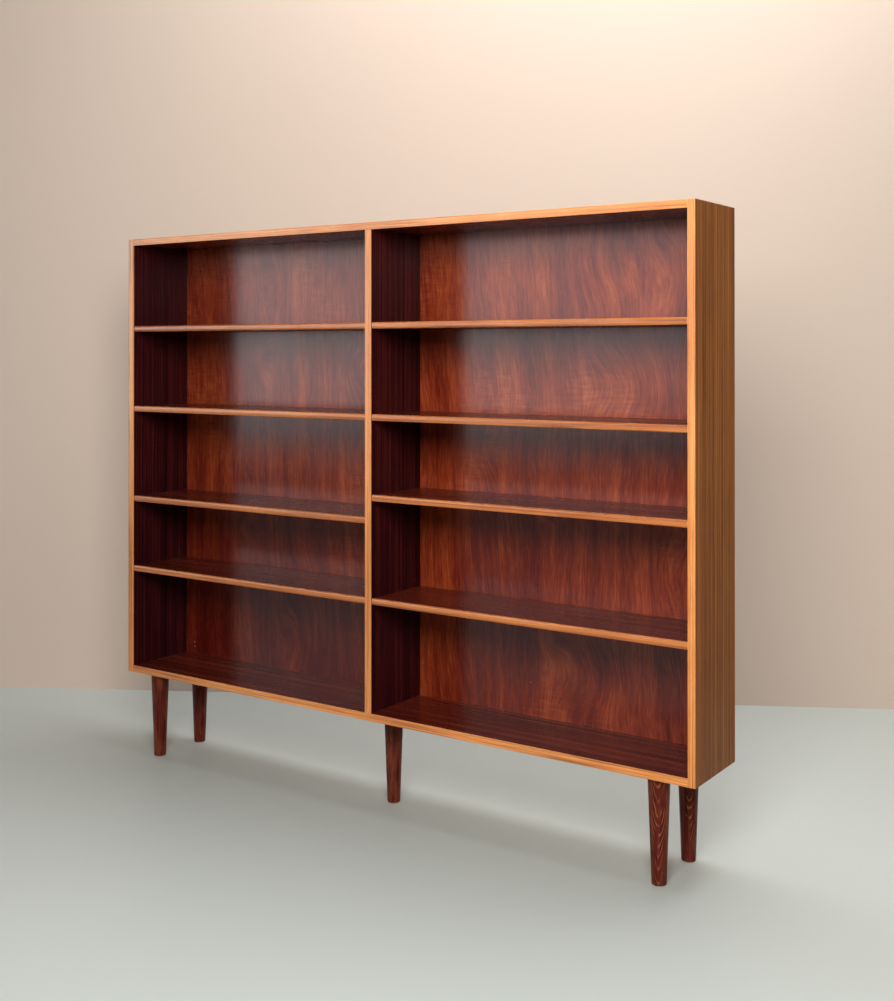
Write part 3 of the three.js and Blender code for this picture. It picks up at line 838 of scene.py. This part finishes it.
# The shelf's solid front strip. Its section is square at the back and a half superellipse at the front,
# |y / bulge| ^ n + |z / half| ^ n = 1, and is carried along X. Near each end the section shrinks towards
# its middle as a quarter circle does.
def makeNose(name, body):
    low, high = cornersOf(name)
    half, depth = (high[2] - low[2]) / 2, high[1] - low[1]
    arc = np.radians(np.linspace(90, 270, shelf["noseArc"] * 2 + 1))
    flat = 2 / shelf["noseSquareness"]
    bulge, bevel, band = depth * shelf["noseBulge"], shelf["noseBack"], shelf["noseBand"]
    arcY = -bulge * np.abs(np.cos(arc)) ** flat
    arcZ = half * np.sign(np.sin(arc)) * np.abs(np.sin(arc)) ** flat
    back = high[1]
    sectionY = np.concatenate([[back - bevel, back - band], low[1] + bulge + arcY,
                               [back - band, back - bevel, back, back]])
    sectionZ = np.concatenate([[half, half], arcZ, [-half, -half, -half + bevel, half - bevel]])
    centreY = (low[1] + high[1]) / 2 + 0.001
    ease = shelf["noseEase"]
    turn = np.radians([0, 22.5, 45, 67.5, 90])
    stations = np.concatenate([low[0] + ease * (1 - np.sin(turn)[::-1]), [low[0] + ease + 0.003],
                               np.linspace(low[0] + 0.1, high[0] - 0.1, 7), [high[0] - ease - 0.003],
                               high[0] - ease * (1 - np.sin(turn))])
    stations = np.sort(stations)
    fromEnd = np.clip(ease - np.minimum(stations - low[0], high[0] - stations), 0, ease)
    inset = ease - np.sqrt(ease ** 2 - fromEnd ** 2)
    reachY, reachZ = sectionY - centreY, sectionZ
    longest = np.where(reachY > 0, back - centreY, np.abs(reachY).max())
    y = centreY + reachY * (1 - inset[:, None] / longest)
    z = (low[2] + high[2]) / 2 + reachZ * (1 - inset[:, None] / half)
    x = np.broadcast_to(stations[:, None], y.shape)
    points = np.stack([x, y, z], -1).reshape(-1, 3)
    share = np.clip(1 - np.minimum(stations - low[0], high[0] - stations) / 0.004, 0, 1)
    front = np.clip((np.abs(reachZ) / half - 0.72) * 4, 0, 1) * (sectionY < centreY)
    arris = np.maximum(share[:, None], 0.7 * front[None, :]).ravel()
    makePiece(name, points, closedTube(*y.shape), [shelfNose], body, [name], arris)


# A support wire: a circle carried along a path that runs out of one hole, round a bend, along the
# board and round another bend into the other hole.
wire = {"bendRadius": 0.0022, "bendSteps": 6, "sides": 16, "endEase": 0.0003, "endShare": 0.8}


def makeWire(name, body):
    low, high = cornersOf(name)
    radius = (high[2] - low[2]) / 2
    outward = 1 if name.endswith("left_wire") else -1
    pinX = low[0] if outward > 0 else high[0]
    runX = (high[0] if outward > 0 else low[0]) - outward * radius
    bend, turn = wire["bendRadius"], np.linspace(0, np.pi / 2, wire["bendSteps"] + 1)
    frontY, rearY = low[1] + radius, high[1] - radius
    bendX = runX - outward * bend + outward * bend * np.sin(turn)
    easedX = pinX + outward * wire["endEase"]
    pathX = np.concatenate([[pinX, easedX], bendX, bendX[::-1], [easedX, pinX]])
    pathY = np.concatenate([[frontY, frontY], frontY + bend * (1 - np.cos(turn)),
                            rearY - bend * (1 - np.cos(turn[::-1])), [rearY, rearY]])
    along = np.stack([np.gradient(pathX), np.gradient(pathY)], -1)
    along[[0, 1]] = [outward, 0]
    along[[-1, -2]] = [-outward, 0]
    along /= np.linalg.norm(along, axis=1, keepdims=True)
    sideways = np.stack([along[:, 1], -along[:, 0], 0 * pathX], -1)
    size = np.full(len(pathX), radius)
    size[[0, -1]] = radius * wire["endShare"]
    angle = np.linspace(0, 2 * np.pi, wire["sides"], endpoint=False)
    cosine, sine = (wave(angle)[None, :, None] for wave in (np.cos, np.sin))
    ring = cosine * sideways[:, None] + sine * np.array([0, 0, 1.0])
    centre = np.stack([pathX, pathY, np.full(len(pathX), (low[2] + high[2]) / 2)], -1)
    points = (centre[:, None] + ring * size[:, None, None]).reshape(-1, 3)
    faces = closedTube(len(pathX), wire["sides"], reverse=True)
    makePiece(name, points, faces, [wireSteel], body, [name], sharpAngle=0.9)


for bay in ("left", "right"):
    for number in range(1, 5):
        name = f"{bay}_shelf_{number}"
        makeShelf(name, bodyOf[name])
        makeNose(name + "_lipping", bodyOf[name + "_lipping"])
        makeWire(name + "_left_wire", "case")
        makeWire(name + "_right_wire", "case")
print("shelves and wires ready")


# Legs

leg = {"segments": 64, "footRadius": 0.017, "footEase": 0.0022, "topEase": 0.0008, "boreRadius": 0.0043,
       "boreEase": 0.0006, "boreDepth": 0.0303, "blankStep": 0.31,
       "turns": {"front_left": 0.75, "front_right": -0.35, "back_left": 0.95, "back_right": -0.45,
                 "centre": 0.85}}


# A profile turned round the leg's axis: a straight taper, an eased foot, an eased top and the blind
# bore for the bolt. Foot and bore floor are closed by one round face each.
def makeLeg(place, turn, number):
    name = place + "_leg"
    low, high = cornersOf(name)
    topRadius, height = (high[0] - low[0]) / 2, high[2] - low[2]
    foot, ease = leg["footRadius"], leg["footEase"]
    turnAngle = np.radians(np.linspace(0, 90, 6))
    heights = np.linspace(0.02, 0.98, 25)
    taper = foot + (topRadius - foot) * heights
    r = np.concatenate([foot - ease * (1 - np.sin(turnAngle)), taper,
                        [topRadius, topRadius - leg["topEase"], leg["boreRadius"] + leg["boreEase"],
                         leg["boreRadius"], leg["boreRadius"]]])
    z = np.concatenate([ease * (1 - np.cos(turnAngle)), heights * height,
                        height - [leg["topEase"], 0, 0, leg["boreEase"], leg["boreDepth"]]])
    share = (np.arange(len(r)) < len(turnAngle)).astype(float)
    angle = np.linspace(0, 2 * np.pi, leg["segments"], endpoint=False)
    local = np.stack([r[:, None] * np.cos(angle), r[:, None] * np.sin(angle), z[:, None] + 0 * angle], -1)
    local = local.reshape(-1, 3)
    centre = np.array([(low[0] + high[0]) / 2, (low[1] + high[1]) / 2, low[2]])
    spin = np.array([[np.cos(turn), -np.sin(turn), 0], [np.sin(turn), np.cos(turn), 0], [0, 0, 1]])
    turned = local @ spin.T + [0, 0, leg["blankStep"] * number]  # each leg from its own stretch of wood
    makePiece(name, local + centre, closedTube(len(r), len(angle)), [legWood], "case", [name],
              np.repeat(share, len(angle)), turned=turned)


for number, (place, turn) in enumerate(leg["turns"].items()):
    makeLeg(place, turn, number)
print("legs ready")


# CAD nodes that stay as they are: the tongues and the leg bolts
for name, node in frame["nodes"].items():
    for ending, material in (("_tongue", tonguePly), ("_leg_bolt", boltSteel)):
        if name.endswith(ending):
            node.data.materials.clear()
            node.data.materials.append(material)


# Studio

studio = {
    "floorColour": (0.50, 0.555, 0.545), "wallColour": (0.68, 0.56, 0.48),
    "wallPlace": (0.42, 1.41), "wallTurn": 0.510, "worldColour": (1.0, 0.95, 0.89), "worldStrength": 0.12,
}


def plainSurface(name, colour, roughness, seenFromBehind):
    material, tree = newMaterial(name)
    where = addNode(tree, "TexCoord").outputs["Object"]
    clouds = noise(tree, where, 0.8, 4.0, 0.55)
    tint = blended(tree, calc(tree, "MULTIPLY", spread(tree, clouds, 0.3, 0.7), 0.08), opaque(colour),
                   opaque(colour, 0.8))
    shader = addNode(tree, "BsdfPrincipled", {"Base Color": tint, "Roughness": roughness})
    surface = shader.outputs[0]
    if not seenFromBehind:
        clear = addNode(tree, "BsdfTransparent").outputs[0]
        behind = addNode(tree, "NewGeometry").outputs["Backfacing"]
        surface = addNode(tree, "MixShader", {0: behind, 1: surface, 2: clear}).outputs[0]
    addNode(tree, "OutputMaterial", {"Surface": surface})
    return material


def stagePlane(name, corners, material):
    mesh = bpy.data.meshes.new(name)
    mesh.from_pydata(corners, [], [(0, 1, 2, 3)])
    mesh.materials.append(material)
    plane = bpy.data.objects.new(name, mesh)
    bpy.context.scene.collection.objects.link(plane)


floorSize, wallHeight = 9.0, 4.5
stagePlane("floor", [(-floorSize, -floorSize, 0), (floorSize, -floorSize, 0),
                     (floorSize, floorSize, 0), (-floorSize, floorSize, 0)],
           plainSurface("floorPaint", studio["floorColour"], 0.45, True))
wallX, wallY = studio["wallPlace"]
runX, runY = np.cos(studio["wallTurn"]) * floorSize, np.sin(studio["wallTurn"]) * floorSize
stagePlane("wall", [(wallX - runX, wallY - runY, 0), (wallX + runX, wallY + runY, 0),
                    (wallX + runX, wallY + runY, wallHeight), (wallX - runX, wallY - runY, wallHeight)],
           plainSurface("wallPaint", studio["wallColour"], 0.8, False))

world = bpy.data.worlds.new("studio")
bpy.context.scene.world = world
world.use_nodes = True
background = world.node_tree.nodes["Background"].inputs
background["Color"].default_value = opaque(studio["worldColour"])
background["Strength"].default_value = studio["worldStrength"]

# Area lights: place, what they point at, size across and up, power, colour
lights = {
    "key": {"place": (1.6, -2.3, 2.15), "aim": (0.25, 0.0, 1.22), "size": (1.3, 1.2), "power": 92,
            "colour": (1.0, 0.95, 0.88), "glossOnly": False},
    "overhead": {"place": (0.4, 0.6, 3.6), "aim": (0.3, 0.2, 0.0), "size": (2.8, 1.8), "power": 105,
                 "colour": (1.0, 0.98, 0.96), "glossOnly": False},
    "window": {"place": (-3.2, -3.9, 1.8), "aim": (-0.2, 0.1, 1.2), "size": (4.6, 2.3), "power": 172,
               "colour": (1.0, 0.97, 1.0), "glossOnly": True},
}


def addLight(name, setting):
    data = bpy.data.lights.new(name, "AREA")
    data.shape = "RECTANGLE"
    data.size, data.size_y = setting["size"]
    data.energy = setting["power"]
    data.color = setting["colour"]
    lamp = bpy.data.objects.new(name, data)
    lamp.location = setting["place"]
    lamp.visible_diffuse = not setting["glossOnly"]
    away = np.array(setting["aim"]) - np.array(setting["place"])
    heading = np.arctan2(-away[0], away[1])
    lamp.rotation_euler = (np.pi / 2 + np.arctan2(away[2], np.hypot(away[0], away[1])), 0, heading)
    bpy.context.scene.collection.objects.link(lamp)


for name, setting in lights.items():
    addLight(name, setting)

camera = {"place": (2.0487, -2.7266, 1.2054), "yaw": 0.6026, "pitch": 0.00385, "lens": 45.66,
          "shift": -0.1537}
cameraData = bpy.data.cameras.new("camera")
cameraData.lens = camera["lens"]
cameraData.shift_y = camera["shift"]
cameraObject = bpy.data.objects.new("camera", cameraData)
cameraObject.location = camera["place"]
cameraObject.rotation_euler = (np.pi / 2 + camera["pitch"], 0, camera["yaw"])
bpy.context.scene.collection.objects.link(cameraObject)
bpy.context.scene.camera = cameraObject
bpy.context.scene.view_settings.view_transform = "Standard"
print("studio ready")
